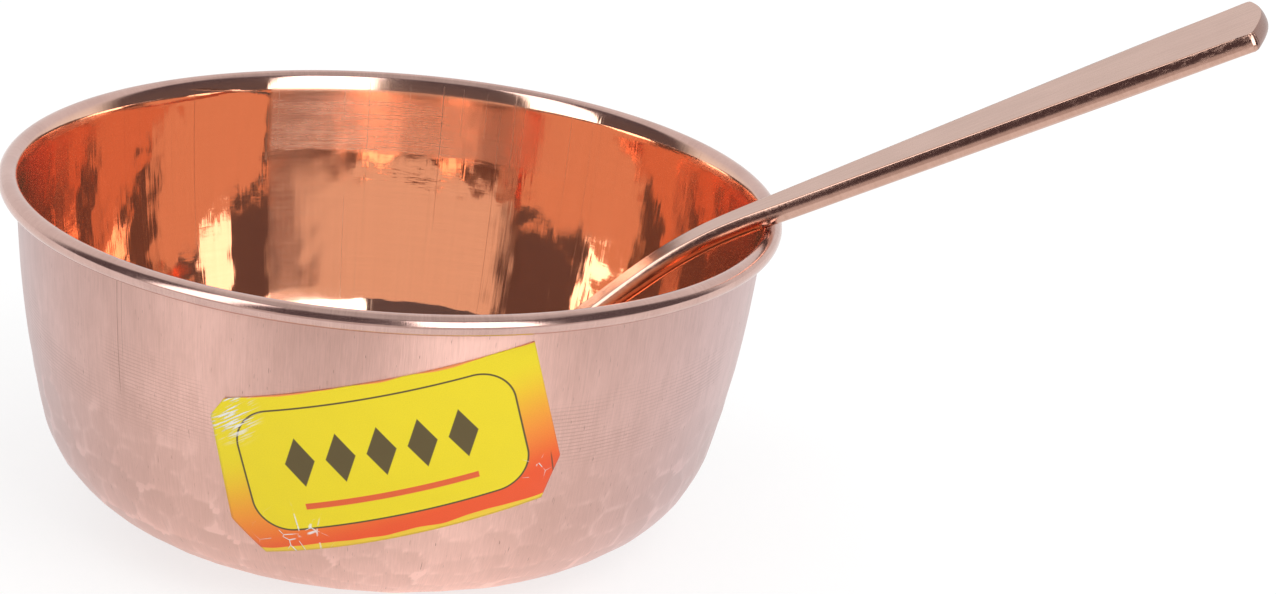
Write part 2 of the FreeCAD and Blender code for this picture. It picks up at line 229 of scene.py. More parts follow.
def bowl_copper():
    """The bowl's whole sheet: outside, rolled rim and inside, hammered and slightly wavy."""
    section = OUTSIDE + INSIDE[::-1]
    first_inside = len(OUTSIDE)
    normals = section_normals(section)
    around = np.array([2 * pi * side / SIDES for side in range(SIDES)])
    turned = np.array([(cos(angle), sin(angle)) for angle in around])
    points = np.array([np.column_stack([turned * reach, np.full(SIDES, height)])
                       for reach, height in section])

    def push(index, size):
        """Move the points of a ring square to the sheet, each by its own size."""
        out, up = normals[index]
        points[index, :, :2] += (size * out)[:, None] * turned
        points[index, :, 2] += size * up

    hammered = [index for index in range(BASE_RINGS, first_inside)
                if section[index][1] < MARKS_TOP]
    found = hollows_at(points[hammered].reshape(-1, 3)).T.reshape(3, len(hammered), SIDES)
    ridge_polish_and_painted_highlight, facet_tone_and_painted_shade = np.zeros((2, len(section), SIDES))
    for index, depth, nearness, tone in zip(hammered, *found):
        height = section[index][1]
        # deep low down, faint towards the top of the wall and the base
        fade = min(1.0, max(FAINTEST, (FAINT_FROM - height) / FAINT_FADE))
        fade *= min(1.0, (MARKS_TOP - height) / TOP_FADE, (index - BASE_RINGS + 1) / 3)
        # the ridges' painted highlight and the hollows' random tone with painted shading, faded
        # like the depth
        ridge_polish_and_painted_highlight[index], facet_tone_and_painted_shade[index] = nearness * fade, tone * fade
        push(index, -depth * fade * MARK_DEPTH)
    waves = inside_waves()
    for index in range(first_inside, len(section)):
        reach, height = section[index]
        share = min(eased(height - 4 * MM, 16 * MM), eased(31 * MM - height, 11 * MM))
        full = np.zeros(SIDES)
        for middle, size in FULLER_SIDES:
            off = (around - middle + pi) % (2 * pi) - pi
            full += size * share * np.exp(-(off / FULLER_SPREAD) ** 2)
        push(index, full)
        if reach < RIM_RADIUS * 0.4 or height > WAVES_TOP:
            continue
        sway = sum(size * np.cos(count * around + climb * height + start)
                   for count, size, climb, start in waves)
        sway *= min(1.0, (WAVES_TOP - height) / WAVES_FADE)
        points[index, :, :2] += sway[:, None] * turned

    flat = points.reshape(-1, 3).tolist() + [(0.0, 0.0, 0.0), (0.0, 0.0, METAL)]
    bottom, floor = len(flat) - 2, len(flat) - 1
    last = (len(section) - 1) * SIDES
    faces = []
    for low in range(0, last, SIDES):
        high = low + SIDES
        for side in range(SIDES):
            following = (side + 1) % SIDES
            faces.append((low + side, low + following, high + following, high + side))
    for side in range(SIDES):
        following = (side + 1) % SIDES
        faces += [(bottom, following, side), (floor, last + side, last + following)]
    piece = mesh_piece("bowl_copper", flat, faces)
    # polished inside and rim against the satin outside
    polished = np.zeros(len(piece.data.polygons), np.int32)
    polished[(first_inside - 1) * SIDES:last] = 1
    polished[last + 1::2] = 1
    piece.data.polygons.foreach_set("material_index", polished)
    # the ridges' polish with painted highlight, and the hollows' tone with painted shading, for the
    # outside's material
    for name, values in (("ridge_polish_and_painted_highlight", ridge_polish_and_painted_highlight), ("facet_tone_and_painted_shade", facet_tone_and_painted_shade)):
        layer = piece.data.attributes.new(name, "FLOAT", "POINT")
        layer.data.foreach_set("value", np.append(values.ravel(), (0.0, 0.0)))
    return piece


bowl = bowl_copper()
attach(bowl, "bowl")
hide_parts("bowl_shell")

# Paper label, laid on the wall

LABEL_WIDTH, LABEL_HEIGHT = 56.0 * MM, 29.6 * MM
LABEL_CLIP_ACROSS, LABEL_CLIP_UP, LABEL_SMALL_CLIP = 4.6 * MM, 7.2 * MM, 2.8 * MM
LABEL_LEAN = 1.8 * MM
LABEL_SLOPE, LABEL_TURN = rad(16.0), rad(271.2)
LABEL_MIDDLE_HEIGHT = 34.9 * MM
LABEL_THICKNESS, LABEL_GAP = 0.12 * MM, 0.05 * MM
LABEL_COLUMNS, LABEL_ROWS = 112, 60
LOOSE_REACH, LOOSE_LIFT = 6 * MM, 0.55 * MM
LOOSE_CORNERS = (
    (LABEL_LEAN - LABEL_WIDTH / 2, LABEL_HEIGHT / 2), (LABEL_WIDTH / 2, -LABEL_HEIGHT / 4))


def wall_reach(height):
    """Reach of the bowl's outside face at a height, up the belly and the wall."""
    for (r0, z0), (r1, z1) in zip(OUTSIDE, OUTSIDE[1:]):
        if z0 <= height <= z1 and z1 > z0:
            return r0 + (r1 - r0) * (height - z0) / (z1 - z0)
    raise ValueError("height off the wall")


def on_label(across, up, lift):
    """The place on the wall that a place on the flat label comes to, lifted off the metal."""
    aside = across * cos(LABEL_SLOPE) - up * sin(LABEL_SLOPE)
    height = LABEL_MIDDLE_HEIGHT + across * sin(LABEL_SLOPE) + up * cos(LABEL_SLOPE)
    reach = wall_reach(height) + lift
    out = sqrt(reach ** 2 - aside ** 2)
    facing = Vector((cos(LABEL_TURN), sin(LABEL_TURN), 0))
    sideways = Vector((-sin(LABEL_TURN), cos(LABEL_TURN), 0))
    return facing * out + sideways * aside + Vector((0, 0, height))


def label_ends(up):
    """Where a level row of the label starts and stops, with its corners clipped."""
    over_bottom = up + LABEL_HEIGHT / 2
    low, high = -LABEL_WIDTH / 2 + LABEL_LEAN * over_bottom / LABEL_HEIGHT, LABEL_WIDTH / 2
    clip = LABEL_CLIP_ACROSS * max(0.0, 1 - over_bottom / LABEL_CLIP_UP)
    small = max(0.0, LABEL_SMALL_CLIP - (LABEL_HEIGHT / 2 - up))
    return low + max(clip, small), high - clip


def paper_label():
    """The label on the wall, with two corners that have come a little loose."""
    points, spots, faces = [], [], []
    for row in range(LABEL_ROWS + 1):
        up = LABEL_HEIGHT * (row / LABEL_ROWS - 0.5)
        low, high = label_ends(up)
        for column in range(LABEL_COLUMNS + 1):
            across = low + (high - low) * column / LABEL_COLUMNS
            loose = max(max(0.0, 1 - hypot(across - x, up - y) / LOOSE_REACH)
                        for x, y in LOOSE_CORNERS)
            lift = LABEL_GAP + LABEL_THICKNESS + LOOSE_LIFT * loose ** 2
            points.append(on_label(across, up, lift))
            spots.append((across / LABEL_WIDTH + 0.5, up / LABEL_HEIGHT + 0.5))
    for row in range(LABEL_ROWS):
        for column in range(LABEL_COLUMNS):
            corner = row * (LABEL_COLUMNS + 1) + column
            above = corner + LABEL_COLUMNS + 1
            faces.append((corner, corner + 1, above + 1, above))
    piece = mesh_piece("label_sheet", points, faces)
    layer = piece.data.uv_layers.new(name="flat")
    for loop in piece.data.loops:
        layer.data[loop.index].uv = spots[loop.vertex_index]
    thick = piece.modifiers.new("paper", "SOLIDIFY")
    thick.thickness = LABEL_THICKNESS
    thick.offset = -1
    return apply_modifiers(piece)


label = paper_label()
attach(label, "bowl")
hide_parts("paper_label")

# Spoon

REST_TURN, SPOON_TURN = rad(-8.3), rad(-6.0)
HANDLE_SLOPE, NECK_SLOPE, NECK_TAPER = rad(28.4), rad(44.0), rad(2.4)
HANDLE_REACH, HANDLE_THICKNESS = 94.0 * MM, 3.6 * MM
TIP_WIDTH, TIP_SAG, TIP_CORNER, TIP_SKEW = 20.8 * MM, 1.9 * MM, 0.8 * MM, 1.1 * MM
NECK_WIDTH, BEND_LEAD, BEND_RADIUS = 7.4 * MM, 4.0 * MM, 80.0 * MM
DISH_LENGTH, DISH_WIDTH, DISH_DEPTH = 56.0 * MM, 40.0 * MM, 12.0 * MM
DISH_WALL, DISH_SLOPE = 1.4 * MM, rad(14.0)
SHOULDER_LENGTH, SHOULDER_WIDTH = 12.0 * MM, 2.6 * MM
REST_GAP = 0.3 * MM
HANDLE_UNDER = ROLL_OUTSIDE + REST_GAP
HANDLE_TOP = HANDLE_UNDER + HANDLE_THICKNESS

# Section of the handle: flat top, a side that bulges past it, and a rounded lower edge
SIDE_RADIUS, SIDE_START = 3.5 * MM, rad(35)
UNDER_RADIUS = HANDLE_THICKNESS - SIDE_RADIUS * sin(SIDE_START)
SIDE_CENTRE_IN = SIDE_RADIUS * cos(SIDE_START)
SIDE_BULGE = SIDE_RADIUS - SIDE_CENTRE_IN
SIDE_ANGLES = [rad(a) for a in (20, 4, -16, -42, -68)]
END_BULGE_SHARE, END_UNDERCUT_SHARE = 0.7, 1.4

# Rings of the dish by their spread from its bottom, and of the handle by distance and by turn
CAP_SPREAD = rad(30)
HOLLOW_SPREADS, OUTER_SPREADS = (30, 44, 57, 69, 79), (82, 76, 69, 58, 44, 30)
LIP_ROUND, LIP_DROP = 0.4 * MM, 0.45 * MM
DISH_COLUMNS = 40
CAP_SIDE = DISH_COLUMNS // 4
NECK_RINGS = (2.6, 6, 10, 15, 21, 28, 35)
HANDLE_RINGS = (0.08, 0.2, 0.33, 0.46, 0.59, 0.72, 0.84)
TIP_RINGS = (0, 28, 50, 68)


def leaning(slope):
    """Directions along and square up from a line that rises towards +X at a slope."""
    return Vector((cos(slope), 0, sin(slope))), Vector((-sin(slope), 0, cos(slope)))


def side_place(angle):
    """Outward reach past the top edge, and depth below the top, at a direction round the side."""
    if angle >= 0:
        return (SIDE_RADIUS * cos(angle) - SIDE_CENTRE_IN,
                SIDE_RADIUS * (sin(SIDE_START) - sin(angle)))
    return (SIDE_BULGE - UNDER_RADIUS * (1 - cos(angle)),
            SIDE_RADIUS * sin(SIDE_START) - UNDER_RADIUS * sin(angle))


def end_place(angle):
    """How far the end face stands out past its top edge; it bulges and is then cut back below."""
    out = side_place(angle)[0]
    return out * (END_BULGE_SHARE if out > 0 else END_UNDERCUT_SHARE)


# The spoon's own frame has its origin at the roll's centre where the handle crosses it
DISH_RISE = hypot(DISH_LENGTH / 2 * sin(DISH_SLOPE), DISH_DEPTH * cos(DISH_SLOPE))
DISH_UP = METAL + REST_GAP + DISH_RISE - ROLL_HEIGHT
JOINT_UP = DISH_UP + DISH_LENGTH / 2 * sin(DISH_SLOPE)
BEND_MIDDLE = Vector((
    (BEND_RADIUS - HANDLE_UNDER) * sin(HANDLE_SLOPE) - BEND_LEAD * cos(HANDLE_SLOPE),
    0,
    -(BEND_RADIUS - HANDLE_UNDER) * cos(HANDLE_SLOPE) - BEND_LEAD * sin(HANDLE_SLOPE),
))
TOP_BEND = BEND_RADIUS + HANDLE_THICKNESS
NECK_TOP = BEND_MIDDLE + Vector((-TOP_BEND * sin(NECK_SLOPE), 0, TOP_BEND * cos(NECK_SLOPE)))
NECK_RUN = (NECK_TOP.z - JOINT_UP) / sin(NECK_SLOPE)
JOINT = NECK_TOP - leaning(NECK_SLOPE)[0] * NECK_RUN
DISH_MIDDLE = Vector((JOINT.x - DISH_LENGTH / 2 * cos(DISH_SLOPE), 0, DISH_UP))
BEND_RUN = TOP_BEND * (NECK_SLOPE - HANDLE_SLOPE)
HANDLE_START = NECK_RUN + BEND_RUN
FULL_RUN = NECK_RUN + BEND_RUN + BEND_LEAD + HANDLE_REACH - 0.50 * MM


def spine(run):
    """Point on the middle of the spoon's upper face and its slope, by distance from the joint."""
    if run <= NECK_RUN:
        return JOINT + leaning(NECK_SLOPE)[0] * run, NECK_SLOPE
    if run <= HANDLE_START:
        slope = NECK_SLOPE - (run - NECK_RUN) / TOP_BEND
        return BEND_MIDDLE + leaning(slope)[1] * TOP_BEND, slope
    along, up = leaning(HANDLE_SLOPE)
    return BEND_MIDDLE + up * TOP_BEND + along * (run - NECK_RUN - BEND_RUN), HANDLE_SLOPE


def thickness(run):
    """Thickness of the neck and the handle."""
    return HANDLE_THICKNESS - max(0.0, NECK_RUN - run) * tan(NECK_TAPER)


def half_width(run):
    """Half the whole width, the bulging sides included."""
    if run > HANDLE_START:
        share = (run - HANDLE_START) / (BEND_LEAD + HANDLE_REACH - TIP_SAG)
        return NECK_WIDTH / 2 + (TIP_WIDTH - NECK_WIDTH) / 2 * share
    shoulder = max(0.0, 1 - run / SHOULDER_LENGTH)
    return NECK_WIDTH / 2 + SHOULDER_WIDTH * shoulder ** 2


def near_tip(run):
    """How near a run is to the tip, from 0 to 1."""
    return eased(run - FULL_RUN + 22 * MM, 18 * MM)


def column_shares(run):
    """The five columns across, drawn out to the edges at the tip so that its corners stay tight."""
    middle = 0.5 + 0.36 * near_tip(run)
    return -1.0, -middle, 0.0, middle, 1.0


def handle_place(run, across, down, forward):
    """A point of the handle: across it, down from its top, and forward along it."""
    place, slope = spine(run)
    along, up = leaning(slope)
    if across > 0:
        # the far edge is a little straighter than the near one
        across *= 1.0 - 0.09 * near_tip(run)
    return place + Vector((0, across, 0)) - up * down + along * forward


def handle_ring(run, half=None, ahead=(0.0,) * 5, turn=0.0):
    """Twenty points round the handle: five on top, five down a side, five below, five up."""
    edge = (half_width(run) if half is None else half) - SIDE_BULGE
    deep = thickness(run) / HANDLE_THICKNESS
    under = edge - (UNDER_RADIUS - SIDE_BULGE)
    back = (UNDER_RADIUS - SIDE_BULGE) * END_UNDERCUT_SHARE * sin(turn)
    columns = list(zip(column_shares(run), ahead))
    side = [(*side_place(angle), end_place(angle) * sin(turn)) for angle in SIDE_ANGLES]
    spots = [(edge * share, 0.0, push) for share, push in columns]
    spots += [(edge + out * cos(turn), down * deep, forward + ahead[4])
              for out, down, forward in side]
    spots += [(under * share, HANDLE_THICKNESS * deep, push - back)
              for share, push in columns[::-1]]
    spots += [(-edge - out * cos(turn), down * deep, forward + ahead[0])
              for out, down, forward in side[::-1]]
    return [handle_place(run, *spot) for spot in spots]


def dish_place(angle, spread, wall, down=None):
    """A point of the dish's ellipsoid, in from its outside by wall; down is set for the lip."""
    length, width = DISH_LENGTH / 2 - wall, DISH_WIDTH / 2 - wall
    if down is None:
        down = (DISH_DEPTH - wall) * cos(spread)
    along, up = leaning(DISH_SLOPE)
    across = Vector((0, width * (sin(angle) * sin(spread)), 0))
    return DISH_MIDDLE + along * (length * (cos(angle) * sin(spread))) + across - up * down


class Cage:
    """A control mesh that is refined to a smooth surface through its own points."""

    def __init__(self):
        self.points, self.faces, self.creases = [], [], {}

    def add(self, point):
        self.points.append(Vector(point))
        return len(self.points) - 1

    def ring(self, points):
        return [self.add(point) for point in points]

    def bridge(self, one, other, closed=True):
        count = len(one) if closed else len(one) - 1
        for index in range(count):
            following = (index + 1) % len(one)
            self.faces.append((one[index], one[following], other[following], other[index]))

    def crease(self, path, sharpness):
        for one, other in zip(path, path[1:]):
            self.creases[frozenset((one, other))] = sharpness


def dish_ring(cage, spread, wall, down=None):
    """A ring of the dish by its spread in degrees; at 90 it lies on the lip, down from its top."""
    angles = [2 * pi * column / DISH_COLUMNS for column in range(DISH_COLUMNS)]
    return cage.ring([dish_place(angle, rad(spread), wall, down) for angle in angles])


def ellipsoid_cap(cage, ring, wall, flip):
    """Close a ring of the dish with a square patch of quads that lies on the ellipsoid."""
    half = CAP_SIDE // 2
    grid = {}
    for row in range(-half, half + 1):
        for column in range(-half, half + 1):
            size = max(abs(row), abs(column))
            if size == 0:
                angle = 0.0
            elif abs(column) >= abs(row):
                angle = pi / 4 * row / column + (pi if column < 0 else 0.0)
            else:
                angle = pi / 2 - pi / 4 * column / row + (pi if row < 0 else 0.0)
            if size == half:
                at = round(angle / (2 * pi) * DISH_COLUMNS) % DISH_COLUMNS
                grid[row, column] = ring[at]
            else:
                grid[row, column] = cage.add(dish_place(angle, CAP_SPREAD * size / half, wall))
    for row in range(-half, half):
        for column in range(-half, half):
            face = (grid[row, column], grid[row, column + 1],
                    grid[row + 1, column + 1], grid[row + 1, column])
            cage.faces.append(face[::-1] if flip else face)


def serving_spoon():
    """Control mesh of the spoon: a dish, opened on one side for the neck and the handle."""
    cage = Cage()
    rings = [dish_ring(cage, spread, DISH_WALL) for spread in HOLLOW_SPREADS]
    ellipsoid_cap(cage, rings[0], DISH_WALL, False)
    for wall, down in ((DISH_WALL, LIP_DROP), (DISH_WALL - LIP_ROUND, 0.0),
                       (LIP_ROUND, 0.0), (0.0, LIP_DROP)):
        rings.append(dish_ring(cage, 90, wall, down))
    rings += [dish_ring(cage, spread, 0.0) for spread in OUTER_SPREADS]
    ellipsoid_cap(cage, rings[-1], 0.0, True)
    neck_columns = (-2, -1, 0, 1, 2)
    top_ring, low_ring = 5, 11
    for upper in range(len(rings) - 1):
        for column in range(DISH_COLUMNS):
            if top_ring <= upper < low_ring and (column < 2 or column >= DISH_COLUMNS - 2):
                continue
            following = (column + 1) % DISH_COLUMNS
            cage.faces.append((rings[upper][column], rings[upper][following],
                               rings[upper + 1][following], rings[upper + 1][column])[::-1])
    # loop round the opening in the dish's wall, in the order of the handle's rings
    between = range(top_ring + 1, low_ring)
    loop = [rings[top_ring][c] for c in neck_columns]
    loop += [rings[r][2] for r in between]
    loop += [rings[low_ring][c] for c in neck_columns[::-1]]
    loop += [rings[r][-2] for r in between[::-1]]
    handle = [loop]
    runs = [run * MM for run in NECK_RINGS]
    runs += [NECK_RUN + BEND_RUN * share for share in (0.0, 0.33, 0.67, 1.0)]
    runs += [HANDLE_START + (BEND_LEAD + HANDLE_REACH) * share for share in HANDLE_RINGS]
    for run in runs:
        handle.append(cage.ring(handle_ring(run)))
    # rounded corners of the tip, and its bowed and slightly slanted end
    corner_run = FULL_RUN - TIP_SAG - TIP_CORNER
    corner_half = half_width(corner_run) - TIP_CORNER
    handle.append(cage.ring(handle_ring(corner_run - 2.5 * MM)))
    for angle in TIP_RINGS:
        turn = rad(angle)
        run = corner_run + TIP_CORNER * sin(turn)
        half = corner_half + TIP_CORNER * cos(turn)
        # the crown of the last ring is at the handle's full length
        sag = FULL_RUN - run if angle == TIP_RINGS[-1] else TIP_SAG * (angle / 70) ** 2
        bow = [sag * (1 - share ** 2) + TIP_SKEW * share for share in column_shares(run)]
        handle.append(cage.ring(handle_ring(run, half, bow, turn)))
    for one, other in zip(handle, handle[1:]):
        cage.bridge(one, other)
    # end face, as a patch of quads inside the last ring
    last = handle[-1]
    rows = [last[0:5]]
    for index, angle in enumerate(SIDE_ANGLES):
        inner = []
        for share, push in list(zip(column_shares(run), bow))[1:4]:
            inner.append(cage.add(handle_place(
                run, (half - SIDE_BULGE) * share, side_place(angle)[1], push + end_place(angle))))
        rows.append([last[19 - index]] + inner + [last[5 + index]])
    rows.append(last[10:15][::-1])
    for one, other in zip(rows, rows[1:]):
        cage.bridge(one, other, closed=False)
    for column, sharpness in ((0, 0.9), (4, 0.6)):
        cage.crease([ring[column] for ring in handle[3:]], sharpness)
    cage.crease(last[0:5], 0.9)
    return cage


def refine(cage, name, level):
    """Make the control mesh's smooth surface pass through the points it was given."""
    aims = np.array([tuple(p) for p in cage.points])
    piece = mesh_piece(name, aims.tolist(), cage.faces)
    mesh = piece.data
    layer = mesh.attributes.new("crease_edge", "FLOAT", "EDGE")
    for edge in mesh.edges:
        layer.data[edge.index].value = cage.creases.get(frozenset(edge.vertices), 0.0)
    surface = piece.modifiers.new("smooth", "SUBSURF")
    surface.levels = surface.render_levels = 1
    surface.use_limit_surface = True
    now = aims.copy()
    for _ in range(6):
        mesh.vertices.foreach_set("co", now.ravel())
        mesh.update()
        shown = piece.evaluated_get(bpy.context.evaluated_depsgraph_get()).data
        reached = np.zeros(len(shown.vertices) * 3)
        shown.vertices.foreach_get("co", reached)
        now += 0.8 * (aims - reached.reshape(-1, 3)[:len(aims)])
    mesh.vertices.foreach_set("co", now.ravel())
    surface.levels = surface.render_levels = level
    return apply_modifiers(piece)


spoon = refine(serving_spoon(), "spoon_copper", 3)
spoon.data.shade_smooth()
spoon.data.transform(Matrix.Translation((
    ROLL_REACH * cos(REST_TURN), ROLL_REACH * sin(REST_TURN), ROLL_HEIGHT,
)) @ Matrix.Rotation(SPOON_TURN, 4, "Z"))
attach(spoon, "spoon")
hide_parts("serving_spoon")

# Materials

WHITE = (1, 1, 1)


class Nodes:
    """Short calls for building the nodes of a material or of the world."""

    def __init__(self, holder):
        holder.use_nodes = True
        self.holder, self.tree = holder, holder.node_tree
        self.shader = self.tree.nodes.get("Principled BSDF")
        self.output = self.tree.nodes.get("Material Output")

    def put(self, socket, value):
        """Link a node's output to an input, or set the input; a colour is given without alpha."""
        if isinstance(value, bpy.types.NodeSocket):
            self.tree.links.new(value, socket)
        elif socket.type == "RGBA":
            socket.default_value = (*value, 1)
        else:
            socket.default_value = value

    def add(self, kind, given=(), **settings):
        """A node with its settings, and its inputs by name or number."""
        node = self.tree.nodes.new("ShaderNode" + kind)
        for key, value in settings.items():
            setattr(node, key, value)
        for key, value in dict(given).items():
            self.put(node.inputs[key], value)
        return node

    def surface(self, inputs):
        """Set the shader's inputs by name, and give the material back."""
        for name, value in inputs.items():
            self.put(self.shader.inputs[name], value)
        return self.holder

    def maths(self, operation, *values):
        return self.add("Math", enumerate(values), operation=operation).outputs[0]

    def vectors(self, operation, *values):
        node = self.add("VectorMath", enumerate(values), operation=operation)
        return node.outputs["Value" if operation in ("LENGTH", "DOT_PRODUCT") else "Vector"]

    def dot(self, place, direction):
        return self.vectors("DOT_PRODUCT", place, tuple(direction))

    def size(self, value):
        return self.maths("ABSOLUTE", value)

    def times(self, value, *others):
        for other in others:
            value = self.maths("MULTIPLY", value, other)
        return value

    def total(self, *values):
        """The sum of numbers and (share, value) pairs."""
        result = None
        for value in values:
            if isinstance(value, tuple):
                value = self.times(value[1], value[0])
            result = value if result is None else self.maths("ADD", result, value)
        return result

    def split(self, vector):
        return self.add("SeparateXYZ", {0: vector}).outputs

    def join(self, x, y, z):
        return self.add("CombineXYZ", {0: x, 1: y, 2: z}).outputs[0]

    def ease(self, value, low, high, start=0.0, end=1.0):
        """A smooth change from start to end as the value goes from low to high."""
        inputs = enumerate((value, low, high, start, end))
        return self.add("MapRange", inputs, interpolation_type="SMOOTHSTEP").outputs[0]

    def fall(self, value, low, high):
        return self.ease(value, low, high, 1.0, 0.0)

    def blend(self, share, one, other, **settings):
        inputs = {0: share, 6: one, 7: other}
        return self.add("Mix", inputs, data_type="RGBA", **settings).outputs[2]

    def mix(self, share, one, other):
        return self.add("MixShader", {0: share, 1: one, 2: other}).outputs[0]

    def glow(self, kind, colour, strength=1.0):
        return self.add(kind, {"Color": colour, "Strength": strength}).outputs[0]

    def rays(self):
        """Whether a ray is the camera's own or seen through glass, and whether metal mirrors it."""
        rays = self.add("LightPath").outputs
        seen = self.maths("MAXIMUM", rays["Is Camera Ray"], rays["Is Transmission Ray"])
        return seen, rays["Is Glossy Ray"]

    def bump(self, height, distance):
        given = {"Height": height, "Distance": distance, "Strength": 1.0}
        return self.add("Bump", given).outputs["Normal"]

    def noise(self, place, scale=1.0, detail=2.0, roughness=0.5):
        given = {"Vector": place, "Scale": scale, "Detail": detail, "Roughness": roughness}
        return self.add("TexNoise", given).outputs["Fac"]

    def place(self):
        return self.add("TexCoord").outputs["Object"]

    def outward(self, place):
        """Direction away from the bowl's axis; it fades out over the base, so nothing radiates."""
        level = self.vectors("MULTIPLY", place, (1, 1, 0))
        reach = self.maths("MAXIMUM", self.vectors("LENGTH", level), BASE_RADIUS)
        return self.vectors("DIVIDE", level, self.join(reach, reach, reach))

    def grain(self, place, per_radian, per_metre, **settings):
        """Noise in cells that run round the bowl's axis and up it."""
        outward = self.vectors("MULTIPLY", self.outward(place), (per_radian,) * 3)
        upward = self.vectors("MULTIPLY", place, (0, 0, per_metre))
        return self.noise(self.vectors("ADD", outward, upward), **settings)


def satin_copper():
    """Outside of the bowl: upright brush marks, turned lines, burnished ridges low down with a
    painted highlight, hollows with painted shade, and painted light and shade round it.
    """
    nodes = Nodes(bpy.data.materials.new("satin_copper"))
    place = nodes.place()
    height = nodes.split(place)[2]
    flecks = nodes.grain(place, 300, 330, roughness=0.6)
    strokes = nodes.grain(place, 230, 48, roughness=0.6)
    smears = nodes.grain(place, 26, 120, detail=3.0, roughness=0.6)
    patina = nodes.noise(place, scale=55.0, detail=4.0, roughness=0.6)
    upper = nodes.ease(height, 0.022, 0.042)
    # turned lines, in patches
    line_step = 0.00068
    wobble = nodes.grain(place, 3, 60, detail=1.0)
    wave = nodes.maths("SINE", nodes.total((2 * pi / line_step, height), (9.0, wobble)))
    patch = nodes.ease(nodes.grain(place, 2.3, 70), 0.42, 0.60)
    band = nodes.times(nodes.ease(height, 0.030, 0.036), nodes.fall(height, 0.043, 0.049))
    lines = nodes.times(nodes.ease(wave, 0.2, 0.95), nodes.times(patch, band))
    # small pits, and two long scratches up the wall
    scars = nodes.ease(nodes.grain(place, 420, 620, detail=0.0), 0.80, 0.86)
    for bearing, low, strength in ((rad(228.5), 0.040, 1.0), (rad(229.4), 0.046, 0.6)):
        aside = nodes.dot(place, (-sin(bearing), cos(bearing), 0))
        ahead = nodes.dot(place, (cos(bearing), sin(bearing), 0))
        thin = nodes.ease(nodes.size(aside), 0.00003, 0.00012, strength, 0.0)
        long = nodes.times(nodes.ease(height, low - 0.004, low),
                           nodes.maths("GREATER_THAN", ahead, 0.0))
        scars = nodes.maths("MAXIMUM", scars, nodes.times(thin, long))
    # painted highlight on the ridges, which are also burnished, and painted shading in the hollows
    ridge_polish_and_painted_highlight, facet_tone_and_painted_shade = (nodes.add("Attribute", attribute_name=name).outputs["Fac"]
                    for name in ("ridge_polish_and_painted_highlight", "facet_tone_and_painted_shade"))
    ridge_polish_and_painted_highlight = nodes.times(ridge_polish_and_painted_highlight, nodes.ease(smears, 0.38, 0.58, 0.1, 1.0))
    smeared = nodes.times(nodes.total(-0.5, smears), nodes.total(0.25, (0.75, upper)))
    # the tone holds the ridges' painted highlight and the hollows' painted shade
    tone = nodes.total((0.60, flecks), (0.35, nodes.times(strokes, upper)), (0.50, smeared),
                       (0.45, patina), (-0.35, lines), (0.22, ridge_polish_and_painted_highlight), (0.19, facet_tone_and_painted_shade), 0.12)
    # painted light and shade: warm and lighter in front, greyer and darker round the sides, painted
    # shade at the far left and up towards the lip, painted light low down
    tone = nodes.ease(tone, 0.40, 1.15)
    # painted shade round the sides and painted light in front, as two copies of one copper
    side = nodes.blend(tone, (0.585, 0.415, 0.395), (0.75, 0.54, 0.52))
    middle = nodes.blend(tone, (0.705, 0.43, 0.362), (0.885, 0.56, 0.483))
    front = nodes.ease(nodes.dot(nodes.outward(place), (-0.1, -0.995, 0)), 0.35, 0.95)
    metal = nodes.blend(front, side, middle)
    # painted shade at the far left and towards the lip, painted light at the bottom
    painted_shade_left = nodes.ease(nodes.dot(nodes.outward(place), (-0.87, -0.5, 0)), 0.45, 0.85, 1.0, 0.91)
    painted_light_low = nodes.ease(height, 0.005, 0.022, 1.20, 1.0)
    painted_shade_lip = nodes.ease(height, 0.043, 0.056, 1.0, 0.97)
    painted_light_and_shade = nodes.times(painted_shade_left, painted_light_low, painted_shade_lip)
    metal = nodes.vectors("MULTIPLY", metal, nodes.join(painted_light_and_shade, painted_light_and_shade, painted_light_and_shade))
    relief = nodes.total((1.0, flecks), (0.6, strokes), (-0.8, lines), (0.6, patina), (-1.0, scars))
    return nodes.surface({
        "Base Color": nodes.blend(nodes.times(scars, 0.6), metal, (0.25, 0.13, 0.10)),
        "Metallic": 1.0,
        "Roughness": nodes.total(
            0.32, (0.10, flecks), (0.06, patina), (-0.08, ridge_polish_and_painted_highlight), (0.03, facet_tone_and_painted_shade)),
        # the turning spreads what the metal mirrors up and down
        "Anisotropic": 0.75,
        "Anisotropic Rotation": 0.25,
        "Tangent": nodes.add("Tangent", direction_type="RADIAL", axis="Z").outputs[0],
        "Normal": nodes.bump(relief, 0.000020),
    })


